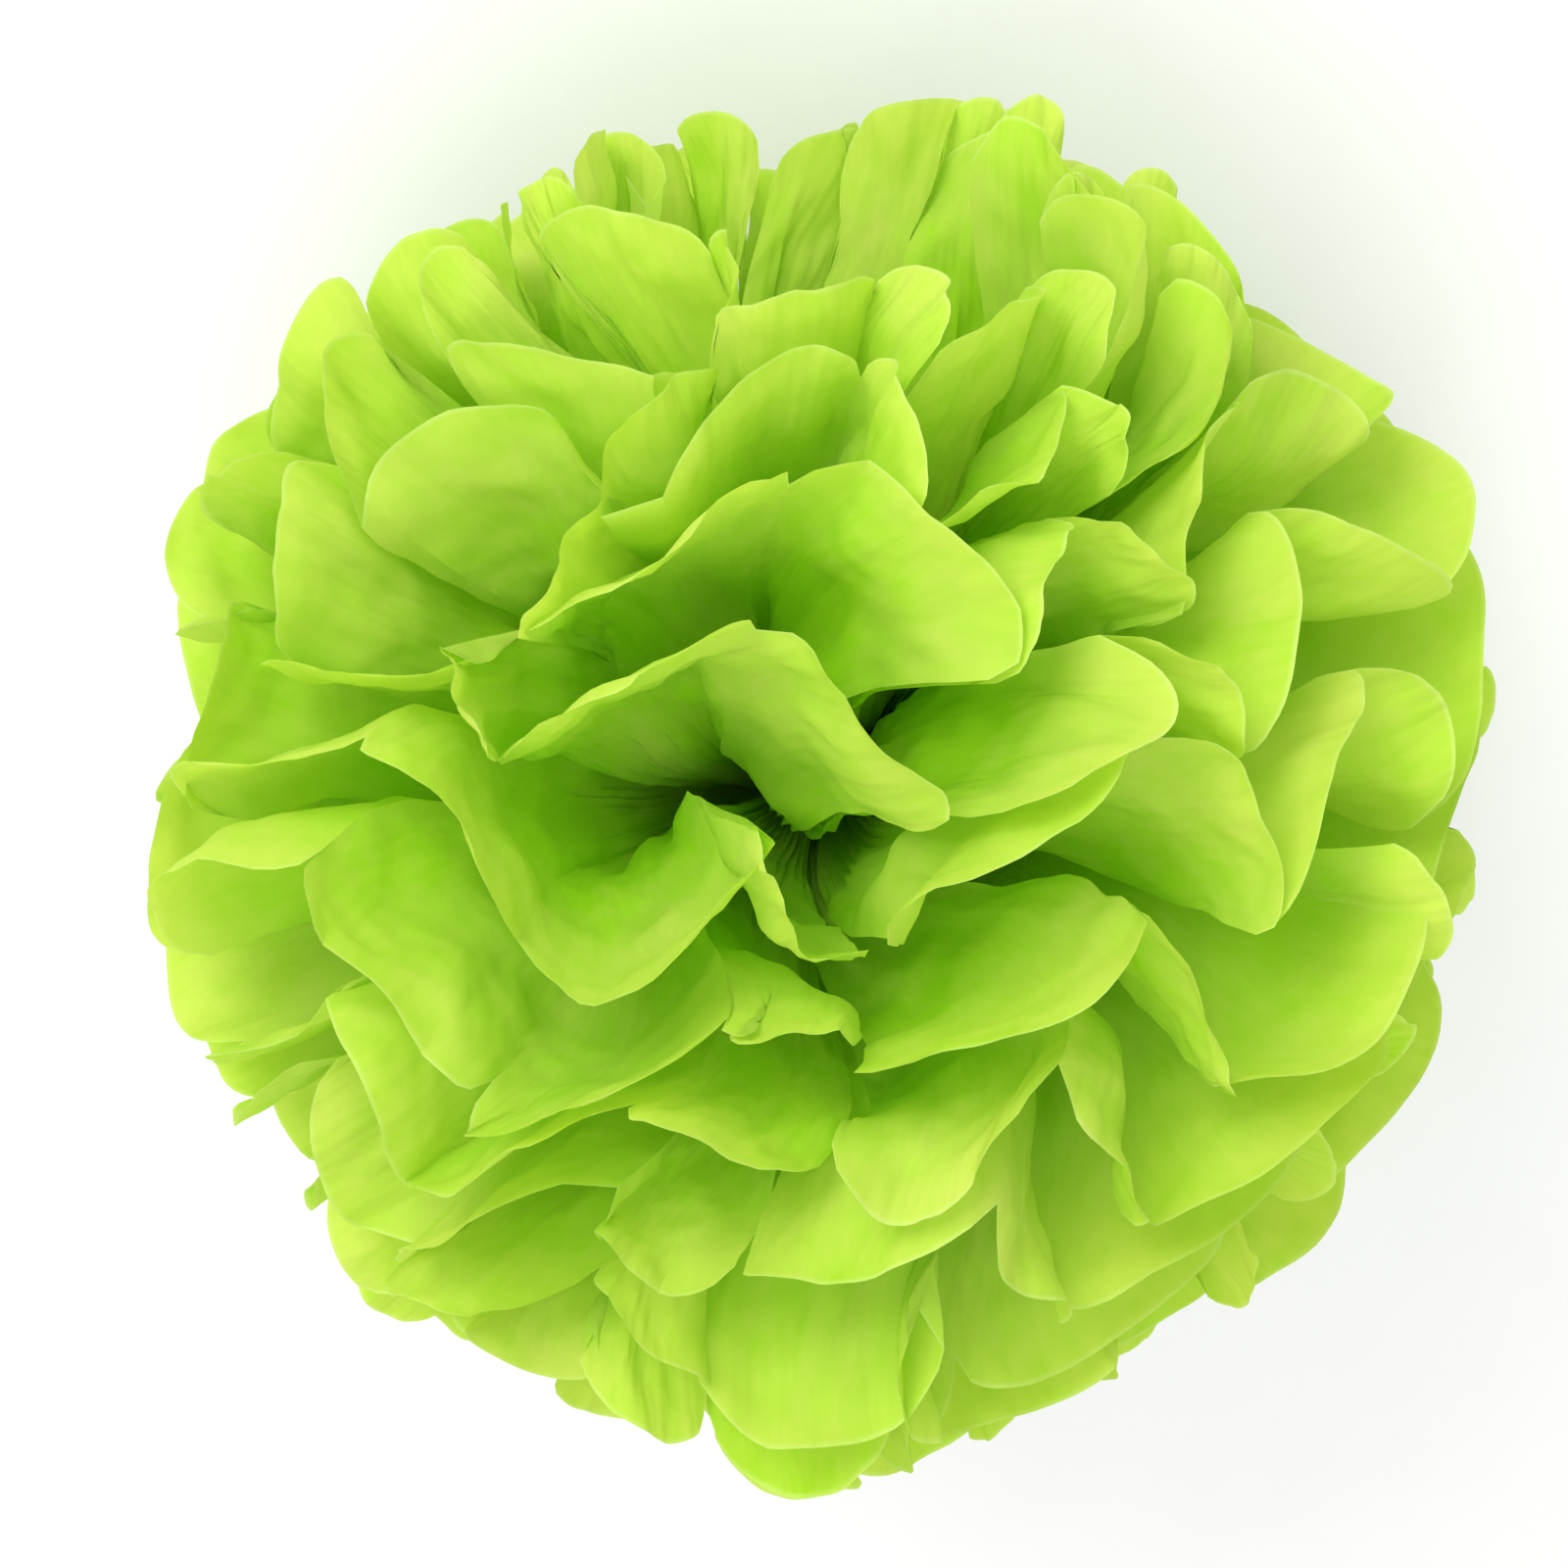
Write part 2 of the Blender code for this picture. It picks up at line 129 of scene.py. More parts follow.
class NodeMaker:
    """Adds the nodes of one tree."""

    def __init__(self, tree: bpy.types.NodeTree) -> None:
        """Keep the tree."""
        self.tree = tree

    def add(
        self,
        kind: str,
        settings: dict[str, object] | None = None,
        sockets: dict[int | str, object] | None = None,
        output: int | str = 0,
    ) -> Term | None:
        """Add a node, set it up and join it to the nodes before it.

        Args:
            kind: The node's type.
            settings: Its properties, set before its sockets. "stops" are a ramp's stops.
            sockets: The value or the link of each input, by name or place.
            output: The output that the result stands for.

        Returns:
            That output, or None where the node has none.
        """
        node = self.tree.nodes.new(kind)
        for name, value in (settings or {}).items():
            if name == "stops":
                self._set_stops(node, value)
            else:
                setattr(node, name, value)
        for key, value in (sockets or {}).items():
            if isinstance(value, Term):
                self.tree.links.new(value.socket, node.inputs[key])
            else:
                node.inputs[key].default_value = value
        return Term(self, node.outputs[output]) if len(node.outputs) else None

    @staticmethod
    def _set_stops(node: bpy.types.Node, stops: list[tuple[float, float]]) -> None:
        """Set a ramp's stops, each a place and a grey value."""
        elements = node.color_ramp.elements
        while len(elements) < len(stops):
            elements.new(0.5)
        for element, (place, value) in zip(elements, stops):
            element.position = place
            element.color = (value, value, value, 1.0)

    def mix_colours(self, share: "Term | float", low: object, high: object) -> Term:
        """Mix two colours.

        Args:
            share: How much of the second there is, from 0 to 1.
            low: The first colour.
            high: The second colour.

        Returns:
            The mixed colour.
        """
        return self.add("ShaderNodeMix", {"data_type": "RGBA"}, {0: share, 6: low, 7: high}, 2)

    def noise(self, place: Term, scale: "Term | float", detail: float, flat: bool = True) -> Term:
        """Add a noise texture.

        Args:
            place: Where it is read.
            scale: Its waves per metre.
            detail: Its layers of finer noise.
            flat: Whether it is read on a flat sheet, and not in space.

        Returns:
            The noise, from 0 to 1.
        """
        settings = {"noise_dimensions": "2D" if flat else "3D"}
        values = {"Vector": place, "Scale": scale, "Detail": detail}
        return self.add("ShaderNodeTexNoise", settings, values, "Fac")

    def creases(self, place: Term, scale: "Term | float") -> Term:
        """Add straight-edged facets that meet in creases, as in paper that was pressed flat.

        Args:
            place: Where it is read on the flat sheet.
            scale: Facets per metre.

        Returns:
            The distance to the nearest crease, from 0 to about half a facet.
        """
        settings = {"voronoi_dimensions": "2D", "feature": "DISTANCE_TO_EDGE"}
        values = {"Vector": place, "Scale": scale, "Randomness": 1.0}
        return self.add("ShaderNodeTexVoronoi", settings, values, "Distance")

    def ease(self, value: Term, ends: tuple[float, float, float, float]) -> Term:
        """Turn one range of a value smoothly into another.

        Args:
            value: The value.
            ends: Where the range starts and ends, and what it becomes at each of the two.

        Returns:
            The new value, which stays at its ends outside the range.
        """
        sockets = {"Value": value, 1: ends[0], 2: ends[1], 3: ends[2], 4: ends[3]}
        return self.add("ShaderNodeMapRange", {"interpolation_type": "SMOOTHSTEP"}, sockets)

    def relief(self, height: Term, strength: float, depth: float) -> Term:
        """Turn a height into the normal of a surface with that relief.

        Args:
            height: The height, from 0 to 1.
            strength: How much of it shows.
            depth: The height of 1 in metres.

        Returns:
            The normal.
        """
        sockets = {"Strength": strength, "Distance": depth, "Height": height}
        return self.add("ShaderNodeBump", {}, sockets)

    def moved(self, place: Term, step: "Term | Corner") -> Term:
        """Return the place with a step added."""
        return self.add("ShaderNodeVectorMath", {"operation": "ADD"}, {0: place, 1: step})

    def stretched(self, place: Term, scale: Corner) -> Term:
        """Return the place with each of its directions scaled."""
        return self.add(
            "ShaderNodeVectorMath", {"operation": "MULTIPLY"}, {0: place, 1: scale}
        )


# Finishes


@dataclass(frozen=True)
class TissueFinish:
    """Matt dyed tissue paper that light shines through, with painted light: paler petal tips and a
    painted highlight along the cut edges.
    """

    face: Colour = (0.395, 0.735, 0.016, 1.0)
    # The paler colour: the paper's own uneven tone in its clouds, and also the painted light that
    # makes the petal tips paler.
    pale_tone_and_tip_light: Colour = (0.77, 0.84, 0.16, 1.0)
    # Painted highlight: the colour of the thin bright line along the cut edges.
    rim: Colour = (0.78, 0.90, 0.32, 1.0)
    glow: Colour = (0.54, 0.81, 0.042, 1.0)
    thinness: float = 0.38
    roughness: float = 0.82
    specular: float = 0.22
    cloud_scale: float = 26.0
    speck_scale: float = 150.0
    fibre_scale: float = 620.0
    streak_scale: float = 330.0
    wrinkle_scale: float = 95.0
    along_fibres: Corner = (1.0, 0.35, 1.0)
    along_streaks: Corner = (1.0, 0.12, 1.0)
    relief_depth: float = 0.0022
    relief_strength: float = 0.7
    # Width and strength of the painted highlight along the cut edges.
    rim_highlight_width: float = 0.0011
    rim_highlight_share: float = 0.55
    # Painted light: the petal tips are painted paler over the last few centimetres before the cut
    # edge, for light shining through them and shade at their bases.
    tip_light_start: float = 0.002
    tip_light_width: float = 0.050
    tip_light_share: float = 0.42

    def material(self, name: str, seed: float) -> bpy.types.Material:
        """Build the finish of one sheet.

        Args:
            name: The material's name.
            seed: Moves the clouds and the fibres, so that no two sheets are alike.

        Returns:
            The material.
        """
        material = bpy.data.materials.new(name)
        material.use_nodes = True
        material.node_tree.nodes.clear()
        maker = NodeMaker(material.node_tree)
        flat = maker.add("ShaderNodeUVMap", {"uv_map": "flat"})
        flat = maker.moved(flat, (seed, 0.37 * seed, 0.0))
        rim_distance = maker.add(
            "ShaderNodeAttribute", {"attribute_name": "rim_distance"}, output="Fac"
        )

        clouds = maker.noise(flat, self.cloud_scale, 1.0)
        specks = maker.noise(flat, self.speck_scale, 1.0)
        fibres = maker.noise(maker.stretched(flat, self.along_fibres), self.fibre_scale, 0.0)
        streaks = maker.noise(maker.stretched(flat, self.along_streaks), self.streak_scale, 0.0)

        # Painted light: paler towards the cut edge, for tips lit through and bases in shade. The
        # clouds, specks and fibres are the paper's own uneven tone.
        painted_tip_light = (self.tip_light_start, self.tip_light_width, self.tip_light_share, 0.0)
        paleness_and_tip_light = 1.1 * clouds + 0.50 * specks + 0.20 * fibres - 0.76
        paleness_and_tip_light = paleness_and_tip_light + maker.ease(rim_distance, painted_tip_light)
        face = maker.mix_colours(paleness_and_tip_light, self.face, self.pale_tone_and_tip_light)
        # Painted highlight: a thin bright line of the rim colour along the cut edges.
        painted_rim_highlight = maker.ease(rim_distance, (0.0, self.rim_highlight_width, self.rim_highlight_share, 0.0))
        face = maker.mix_colours(painted_rim_highlight, face, self.rim)

        wrinkles = maker.noise(flat, self.wrinkle_scale, 1.0)
        height = 0.60 * wrinkles + 0.24 * streaks
        normal = maker.relief(height, self.relief_strength, self.relief_depth)
        paper = maker.add(
            "ShaderNodeBsdfPrincipled",
            {},
            {
                "Base Color": face,
                "Roughness": self.roughness + 0.16 * (specks - 0.5),
                "Specular IOR Level": self.specular,
                "Normal": normal,
            },
        )
        shine_through = maker.add(
            "ShaderNodeBsdfTranslucent", {}, {"Color": self.glow, "Normal": normal}
        )
        share = self.thinness + 0.16 * (clouds - 0.5) + 0.12 * (specks - 0.5)
        surface = maker.add("ShaderNodeMixShader", {}, {0: share, 1: paper, 2: shine_through})
        maker.add("ShaderNodeOutputMaterial", {}, {"Surface": surface})
        return material


@dataclass(frozen=True)
class WireFinish:
    """Dark green paint on thin steel wire."""

    paint: Colour = (0.020, 0.050, 0.014, 1.0)
    worn: Colour = (0.075, 0.120, 0.050, 1.0)
    roughness: float = 0.42
    wear_scale: float = 900.0
    wear_depth: float = 0.00005

    def material(self, name: str) -> bpy.types.Material:
        """Build the paint.

        Args:
            name: The material's name.

        Returns:
            The material.
        """
        material = bpy.data.materials.new(name)
        material.use_nodes = True
        material.node_tree.nodes.clear()
        maker = NodeMaker(material.node_tree)
        place = maker.add("ShaderNodeTexCoord", {}, {}, "Object")
        wear = maker.noise(place, self.wear_scale, 3.0, flat=False)
        worn = maker.add(
            "ShaderNodeValToRGB", {"stops": [(0.52, 0.0), (0.70, 1.0)]}, {"Fac": wear}, "Color"
        )
        paint = maker.mix_colours(worn, self.paint, self.worn)
        normal = maker.relief(wear, 0.4, self.wear_depth)
        surface = maker.add(
            "ShaderNodeBsdfPrincipled",
            {},
            {
                "Base Color": paint,
                "Roughness": self.roughness + 0.25 * (wear - 0.5),
                "Specular IOR Level": 0.5,
                "Normal": normal,
            },
        )
        maker.add("ShaderNodeOutputMaterial", {}, {"Surface": surface})
        return material


@dataclass(frozen=True)
class FloorFinish:
    """Pale matt card under and behind the ball."""

    card: Colour = (0.90, 0.90, 0.895, 1.0)
    shade: Colour = (0.88, 0.88, 0.875, 1.0)
    grain_scale: float = 40.0

    def material(self, name: str) -> bpy.types.Material:
        """Build the card.

        Args:
            name: The material's name.

        Returns:
            The material.
        """
        material = bpy.data.materials.new(name)
        material.use_nodes = True
        material.node_tree.nodes.clear()
        maker = NodeMaker(material.node_tree)
        place = maker.add("ShaderNodeTexCoord", {}, {}, "Object")
        grain = maker.noise(place, self.grain_scale, 3.0)
        colour = maker.mix_colours(grain, self.card, self.shade)
        surface = maker.add(
            "ShaderNodeBsdfPrincipled",
            {},
            {"Base Color": colour, "Roughness": 0.9, "Specular IOR Level": 0.1},
        )
        maker.add("ShaderNodeOutputMaterial", {}, {"Surface": surface})
        return material


# The folding rule


class Sway(Enum):
    """What differs a little from crease to crease and from petal to petal."""

    DRIFT = 0
    DEPTH = 1
    LIFT = 2
    LENGTH = 3
    BULGE = 4
    CURL = 5


class Half(Enum):
    """The two halves of a sheet, on either side of the tie."""

    RIGHT = 1.0
    LEFT = -1.0


def smooth_step(value: np.ndarray) -> np.ndarray:
    """Ease from 0 to 1."""
    value = np.clip(value, 0.0, 1.0)
    return value * value * (3.0 - 2.0 * value)


def unit(vectors: np.ndarray) -> np.ndarray:
    """Scale vectors to length one."""
    return vectors / np.maximum(np.linalg.norm(vectors, axis=-1, keepdims=True), 1e-12)


@dataclass(frozen=True)
class FoldRule:
    """Sizes of the stack and the rule that folds a flat sheet of it into its petals."""

    sheet_count: int = 12
    sheet_length: float = 0.500
    sheet_width: float = 0.262
    panel_count: int = 11
    paper_thickness: float = 0.0002
    petal_rounding: float = 0.0125
    waist_length: float = 0.0040
    peel_step: float = 0.0014
    end_peel_loss: float = 0.20
    waist_width: float = 0.0100
    waist_gap: float = 0.0006
    outer_lean: float = math.radians(73)
    fan_spread: float = math.radians(179)
    wedge_share: float = 0.12
    waist_lean_share: float = 0.50
    lean_reach: float = 0.032
    pleat_clearance: float = 0.0032
    least_slope_cosine: float = 0.20
    pleat_reach: float = 0.050
    edge_pleat_share: float = 0.45
    seam_step: float = 0.24
    outer_pleat_angle: float = math.radians(8)
    extra_pleat_angle: float = math.radians(22)
    steepest_lean: float = math.radians(86)
    seam_reach: float = 0.100
    seam_twist: float = math.radians(22)
    seam_wander: float = 0.0050
    wander_height: float = 0.110
    wander_depth: float = 0.150
    seam_gap: float = 0.0012
    crease_drift: float = 0.36
    crease_skew: float = 0.12
    outer_overlap: float = 0.9
    overlap_change: float = 0.30
    overlap_rate: float = 0.30
    overlap_turn: float = 0.50
    overlap_clearance: float = 0.12
    depth_change: float = 0.15
    lift_change: float = 0.22
    length_change: float = 0.045
    petal_bulge: float = 0.60
    petal_curl: float = 0.80
    most_push: float = 0.42
    gather_count: int = 24
    gather_reach: float = 0.058
    outer_gather_reach: float = 0.090
    gather_fade: float = 0.026
    gather_change: float = 0.22
    seam_close: float = 0.018
    seam_side: float = 0.0017
    bend_depth: float = 0.0060
    bend_wavelength: float = 0.085
    tie_height: float = 0.122
    settle_depth: float = 0.0050
    wire_clearance: float = 0.0003
    wire_diameter: float = 0.0007
    seed: int = 7

    def __post_init__(self) -> None:
        """Draw the random numbers of the unevenness, always the same ones."""
        random = np.random.RandomState(self.seed)
        shape = (6, 2, self.panel_count + 1, 3)
        rates = random.uniform(0.30, 1.10, shape)
        rates[[Sway.BULGE.value, Sway.CURL.value]] *= 2.5
        object.__setattr__(self, "rates", rates)
        object.__setattr__(self, "starts", random.uniform(0.0, 2 * math.pi, shape))
        directions = unit(random.normal(size=(8, 3)))
        object.__setattr__(self, "directions", directions)
        object.__setattr__(self, "pushes", unit(random.normal(size=(8, 3))))
        object.__setattr__(self, "bend_starts", random.uniform(0.0, 2 * math.pi, 8))

    @property
    def half_width(self) -> float:
        """Length of a sheet from the tie to its tips."""
        return self.sheet_width / 2

    @property
    def panel_width(self) -> float:
        """Width of one pleat panel, which is one petal."""
        return self.sheet_length / self.panel_count

    @property
    def lean_step(self) -> float:
        """Angle between one sheet and the next."""
        return 2 * self.outer_lean / (self.sheet_count - 1)

    @property
    def fan_step(self) -> float:
        """Angle of one petal in the fan of a half sheet."""
        return self.fan_spread / self.panel_count

    def sway(self, kind: Sway, half: np.ndarray, crease: np.ndarray, level: float) -> np.ndarray:
        """Return a value of about -1 to 1 that changes slowly from sheet to sheet.

        Args:
            kind: What it is for.
            half: 0 for the right half, 1 for the left.
            crease: The crease's number.
            level: The sheet's place in the stack.

        Returns:
            The values.
        """
        rates = self.rates[kind.value, half, crease]
        starts = self.starts[kind.value, half, crease]
        return 1.3 * np.sin(rates * level + starts).mean(axis=-1)

    def seam_share(self, place: np.ndarray) -> np.ndarray:
        """How near a place across the pleats is to the sheet's cut ends, from 0 to 1."""
        return np.sin(self.fan_spread * (place / self.panel_count - 0.5)) ** 4

    def peel_place(self, level: float, place: np.ndarray) -> np.ndarray:
        """Distance from the middle at which a sheet leaves the stack."""
        rank = min(level, self.sheet_count - 1 - level)
        step = self.peel_step * rank * (1 - self.end_peel_loss * self.seam_share(place))
        return self.waist_length / 2 + step

    def crease_points(
        self, level: float, half: np.ndarray, crease: np.ndarray, reach: np.ndarray
    ) -> np.ndarray:
        """Return points of the creases of one sheet, before the ball is bent and settled.

        Args:
            level: The sheet's place in the stack.
            half: 0 for the right half, 1 for the left.
            crease: Each point's crease.
            reach: Each point's distance from the tie along the paper.

        Returns:
            One point for each crease and reach, with the tie at the origin.
        """
        share = np.clip(reach / self.half_width, 0.0, 1.1)
        lean = self.outer_lean * (2.0 * level / (self.sheet_count - 1) - 1.0)
        fan = self.fan_spread * (crease / self.panel_count - 0.5)
        wedge = np.arcsin(np.cos(fan) * math.sin(lean))
        tilt = (1 - self.wedge_share) * lean + self.wedge_share * wedge
        narrowing = np.cos(fan) * math.cos(lean) / np.cos(wedge)
        spacing = 1 - self.wedge_share + self.wedge_share * narrowing
        opened = smooth_step(reach / self.lean_reach)
        opened = self.waist_lean_share + (1 - self.waist_lean_share) * opened
        fold = np.where(crease % 2 == 0, 1.0, -1.0)
        cut_end = (crease == 0) | (crease == self.panel_count)
        inner = np.sin(math.pi * crease / self.panel_count) ** 0.5

        run = np.maximum(reach, 1e-4)
        across = run * np.cos(tilt * opened) * self.fan_step
        room = run * self.lean_step * spacing * opened
        flattest = np.clip(self.pleat_clearance / room, self.least_slope_cosine, 1.0)
        rise = np.sqrt(np.maximum(self.panel_width ** 2 - across ** 2, 0.0))
        rise = np.minimum(rise, across * np.sqrt(1.0 / flattest ** 2 - 1.0))
        depth = 0.5 * rise / run * np.where(cut_end, self.edge_pleat_share, 1.0)
        depth = depth * smooth_step(reach / self.pleat_reach)
        most_depth = self.outer_pleat_angle + self.extra_pleat_angle * math.cos(lean) ** 2
        depth = np.minimum(depth, most_depth)
        depth = depth * (1 + self.depth_change * self.sway(Sway.DEPTH, half, crease, level) * share)

        ease = 0.4 + 0.6 * math.cos(lean)
        wave = np.sin(self.overlap_rate * level + self.overlap_turn * crease + 2.4 * half + 0.8)
        skew = ease * self.crease_skew + self.outer_overlap * (1 - math.cos(lean))
        skew = skew * (1 - self.overlap_change + self.overlap_change * wave)
        skew = skew * np.where(half == 0, 1.0, -1.0) * np.where(cut_end, 0.0, 1.0)
        over = np.abs(skew) * share
        limit = self.overlap_clearance * self.lean_step * spacing * (1 + 2 * over)
        depth = np.minimum(depth, limit * (1 + 8 * np.maximum(0.5 - over, 0.0)))
        seam = math.sin(math.pi / 2 * level) * self.seam_step
        seam = seam * np.where(half == 0, 1.0, -1.0) * np.where(cut_end, 1.0, 0.0)
        fan = fan + self.fan_step * share * (fold * skew + seam)
        drift = ease * self.crease_drift * inner * self.sway(Sway.DRIFT, half, crease, level)
        fan = fan + self.fan_step * share ** 1.3 * drift
        lift = self.lift_change * self.lean_step * spacing * share ** 2
        lift = lift * self.sway(Sway.LIFT, half, crease, level)
        tilt = tilt * opened + fold * depth + lift
        tilt = tilt / (1 + np.abs(tilt / self.steepest_lean) ** 8) ** (1 / 8)
        stretch = self.length_change * share * self.sway(Sway.LENGTH, half, crease, level)
        length = reach * (1 + stretch)

        turn = np.where(half == 0, Half.RIGHT.value, Half.LEFT.value)
        closing = (self.waist_length - self.seam_gap) / 2 * smooth_step(reach / self.seam_close)
        peeled = self.peel_place(level, crease) - self.waist_length / 2
        closing = closing + peeled * smooth_step(reach / self.seam_close)
        peel = self.peel_place(level, crease) - closing * self.seam_share(crease)
        aside = self.seam_side * math.sin(math.pi / 2 * (2 * level + 1))
        aside = aside * self.seam_share(crease) * smooth_step(reach / (0.4 * self.seam_close))
        aside = aside * smooth_step((self.half_width - reach) / self.seam_reach)
        pitch = self.paper_thickness + self.waist_gap
        stack = (level - (self.sheet_count - 1) / 2) * pitch
        gathered = self.waist_width * (crease / self.panel_count - 0.5)
        x = turn * (peel + length * np.cos(tilt) * np.cos(fan)) + aside
        y = -stack * (1 - share) - length * np.sin(tilt)
        z = gathered + length * np.cos(tilt) * np.sin(fan)
        return np.stack(np.broadcast_arrays(x, y, z), axis=-1)

    def bend(self, points: np.ndarray) -> np.ndarray:
        """Push points about by a smooth field, so that no two petals stand alike."""
        waves = 2 * math.pi / self.bend_wavelength * (points @ self.directions.T)
        reach = np.linalg.norm(points, axis=-1, keepdims=True)
        fade = smooth_step(reach / (0.7 * self.half_width))
        push = np.sin(waves + self.bend_starts) @ self.pushes
        points = points + fade * self.bend_depth * 0.45 * push
        wander = points[..., 2] / self.wander_height + points[..., 1] / self.wander_depth
        wander = self.seam_wander * fade[..., 0] * np.sin(2 * math.pi * wander)
        turn = self.seam_twist * points[..., 1] / self.half_width
        x, y, z = points[..., 0] + wander, points[..., 1], points[..., 2]
        x, z = x * np.cos(turn) + z * np.sin(turn), z * np.cos(turn) - x * np.sin(turn)
        return np.stack((x, y, z), axis=-1)

    def settle(self, points: np.ndarray) -> np.ndarray:
        """Lift points to the tie's height and press the lowest petals on the table."""
        points = points + np.array((0.0, 0.0, self.tie_height))
        height = points[..., 2]
        points[..., 2] = 0.5 * (height + np.sqrt(height ** 2 + self.settle_depth ** 2))
        return points

    def panel_points(
        self,
        level: float,
        half: np.ndarray,
        panel: np.ndarray,
        part: np.ndarray,
        reach: np.ndarray,
    ) -> np.ndarray:
        """Return points of flat pleat panels.

        Args:
            level: The sheet's place in the stack.
            half: 0 for the right half, 1 for the left.
            panel: Each point's panel.
            part: Its share of the way from the panel's first crease to its second.
            reach: Its distance from the tie along the paper.

        Returns:
            The points.
        """
        near = self.crease_points(level, half, panel, reach)
        far = self.crease_points(level, half, panel + 1, reach)
        return near + (far - near) * part[:, None]

    def fold_sheet(self, level: int, along: np.ndarray, across: np.ndarray) -> np.ndarray:
        """Fold flat points of a sheet.

        Args:
            level: The sheet's place in the stack.
            along: Each point's distance from the tie line, along the pleats.
            across: Its distance from the sheet's middle, across the pleats.

        Returns:
            The folded points, with the tie above the origin.
        """
        half = np.where(along >= 0, 0, 1)
        place = (across / self.sheet_length + 0.5) * self.panel_count
        neck = self.peel_place(level, place)
        reach = np.maximum(np.abs(along) - neck, 0.0)
        panel = np.clip(np.floor(place + 1e-6), 0, self.panel_count - 1).astype(int)
        part = np.clip(place - panel, 0.0, 1.0)
        points = self.panel_points(level, half, panel, part, reach)

        edge = self.crease_points(level, half, panel + 1, reach)
        edge = edge - self.crease_points(level, half, panel, reach)
        outward = self.panel_points(level, half, panel, part, reach + 0.001) - points
        low, high = max(level - 0.5, 0.0), min(level + 0.5, self.sheet_count - 1.0)
        between = self.panel_points(high, half, panel, part, reach)
        between = between - self.panel_points(low, half, panel, part, reach)
        between = between / (high - low)
        facing = unit(between)
        normal = unit(np.cross(edge, outward))
        rise = (edge * facing).sum(-1, keepdims=True) * facing
        opening = 0.5 * np.linalg.norm(edge - rise, axis=-1)
        room = np.minimum(np.abs((between * normal).sum(-1)), opening)

        share = reach / self.half_width
        bulge = self.petal_bulge * self.sway(Sway.BULGE, half, panel, level)
        curl = self.petal_curl * self.sway(Sway.CURL, half, panel, level)
        push = bulge * 4 * part * (1 - part) * smooth_step((share - 0.3) / 0.5)
        push = push + curl * np.sin(math.pi * part) * smooth_step((share - 0.5) / 0.7)
        push = np.clip(push, -self.most_push, self.most_push) * room
        push = push + self.gather_push(level, place, reach, np.linalg.norm(edge, axis=-1))
        points = points + normal * push[:, None]
        points[:, 0] = np.where(np.abs(along) < neck, along, points[:, 0])
        return self.settle(self.bend(points))

    def gather_push(
        self, level: int, place: np.ndarray, reach: np.ndarray, width: np.ndarray
    ) -> np.ndarray:
        """Fine gathers near the tie, where a panel has less room than its paper is wide.

        Args:
            level: The sheet's place in the stack.
            place: Place across the sheet, in panels.
            reach: Distance from the tie along the paper.
            width: Room between the panel's two creases.

        Returns:
            How far each point stands off the panel, on either side of it by turns.
        """
        count = self.gather_count
        step = self.panel_width / count
        room = np.minimum(width / count, step)
        depth = 0.5 * np.sqrt(step ** 2 - room ** 2)
        fold = np.round(place * count)
        side = np.where(fold % 2 == 0, 1.0, -1.0) * np.where(fold % count == 0, 0.0, 1.0)
        outer = abs(2.0 * level / (self.sheet_count - 1) - 1.0) ** 1.5
        end = self.gather_reach + (self.outer_gather_reach - self.gather_reach) * outer
        uneven = np.sin(1.9 * fold + level) + np.sin(0.83 * fold + 2.0 * level)
        end = end * (1 + 0.5 * self.gather_change * uneven)
        fade = smooth_step((end - reach) / self.gather_fade)
        return side * depth * fade * smooth_step(reach / 0.004)

    def petal_tip(self, across: np.ndarray) -> np.ndarray:
        """Distance from the tie line to the cut edge at a place across the sheet."""
        part = (across / self.panel_width + self.panel_count / 2) % 1.0
        rounded = np.sqrt(np.clip(1 - np.abs(2 * part - 1) ** 2.2, 0.0, 1.0))
        rounded = np.where(np.minimum(part, 1 - part) < 1e-4, 0.0, rounded)
        return self.half_width - self.petal_rounding * (1 - rounded)

    def flat_area(self) -> float:
        """Area of one flat sheet with its rounded ends, in square metres."""
        across = (np.arange(4000) + 0.5) / 4000 * self.sheet_length - self.sheet_length / 2
        return float(2 * self.petal_tip(across).mean() * self.sheet_length)


# Geometry Nodes


@dataclass(frozen=True)
class CrinkleSizes:
    """Sizes of the fine crinkles of a sheet."""

    crinkle_depth: float = 0.0042
    crinkle_scale: float = 40.0
    crease_depth: float = 0.0048
    crease_scale: float = 36.0
    flutter_depth: float = 0.0085
    flutter_scale: float = 19.0
    fold_angle: float = math.radians(32)


